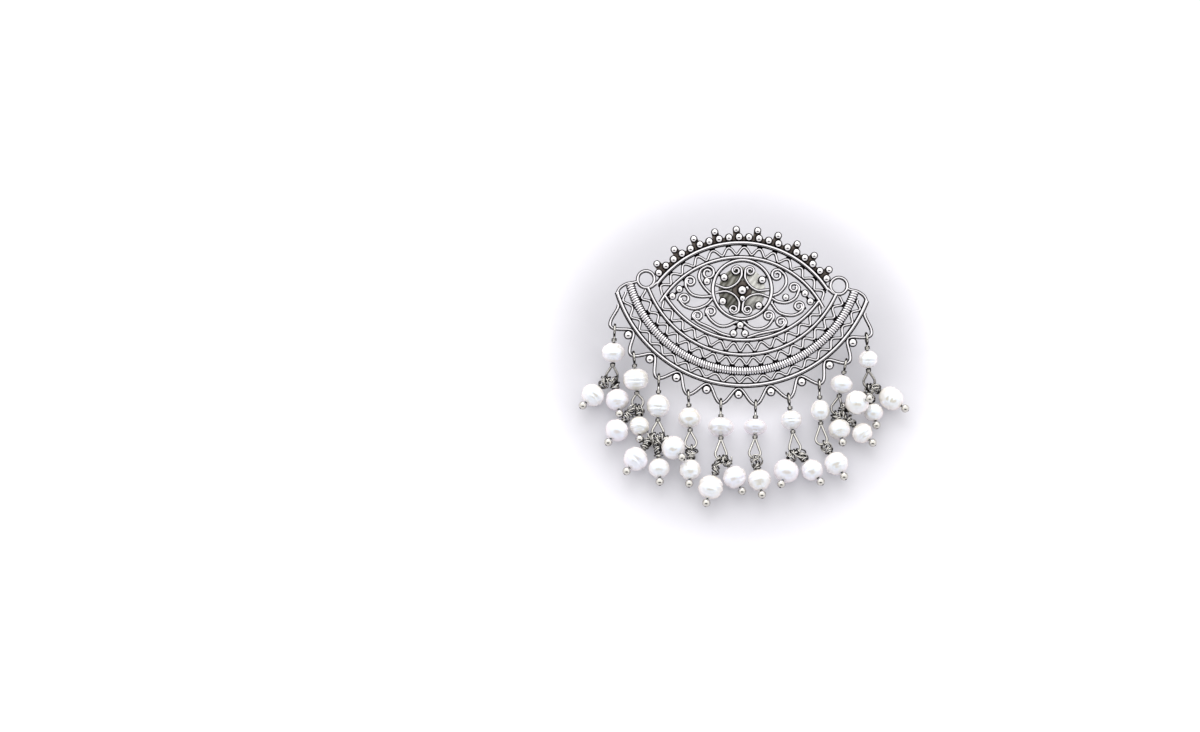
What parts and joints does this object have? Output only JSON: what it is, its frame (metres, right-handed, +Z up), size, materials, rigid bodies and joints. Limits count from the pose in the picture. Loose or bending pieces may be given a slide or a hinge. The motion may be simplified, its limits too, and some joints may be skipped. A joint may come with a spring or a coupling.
{
  "type": "pearl drop earring",
  "caption": "fan-shaped silver filigree stud earring with a scalloped edge, fringed with wire-linked pearls that end in clusters of pearl drops",
  "frame": {"origin": "on the surface that the part rests on, under the middle of its whole box", "axes": "+Z up from that surface, +Y from the pearls towards the plate's grains, +X to the right as the front is seen"},
  "size_m": [0.059, 0.0493, 0.0141],
  "materials": {
    "silver": "sterling silver, oxidised dark in the recesses and polished on the raised wires",
    "wire": "drawn silver wire with a warm tarnish",
    "pearl": "white nacre with a soft lustre"
  },
  "bodies": {
    "root": {"filigree_plate": "silver", "ear_post": "silver", "link_wire_1": "wire", "link_wire_2": "wire", "link_wire_3": "wire", "link_wire_4": "wire", "link_wire_5": "wire", "link_wire_6": "wire", "link_wire_7": "wire", "link_wire_8": "wire", "link_wire_9": "wire", "link_wire_10": "wire", "link_pearl_1": "pearl", "link_pearl_2": "pearl", "link_pearl_3": "pearl", "link_pearl_4": "pearl", "link_pearl_5": "pearl", "link_pearl_6": "pearl", "link_pearl_7": "pearl", "link_pearl_8": "pearl", "link_pearl_9": "pearl", "link_pearl_10": "pearl", "head_pins_1": "wire", "head_pins_2": "wire", "head_pins_3": "wire", "head_pins_4": "wire", "head_pins_5": "wire", "head_pins_6": "wire", "head_pins_7": "wire", "head_pins_8": "wire", "head_pins_9": "wire", "head_pins_10": "wire", "drop_pearl_1": "pearl", "drop_pearl_2": "pearl", "drop_pearl_3": "pearl", "drop_pearl_4": "pearl", "drop_pearl_5": "pearl", "drop_pearl_6": "pearl", "drop_pearl_7": "pearl", "drop_pearl_8": "pearl", "drop_pearl_9": "pearl", "drop_pearl_10": "pearl", "drop_pearl_11": "pearl", "drop_pearl_12": "pearl", "drop_pearl_13": "pearl", "drop_pearl_14": "pearl", "drop_pearl_15": "pearl", "drop_pearl_16": "pearl", "drop_pearl_17": "pearl", "drop_pearl_18": "pearl", "drop_pearl_19": "pearl"}
  },
  "joints": []
}
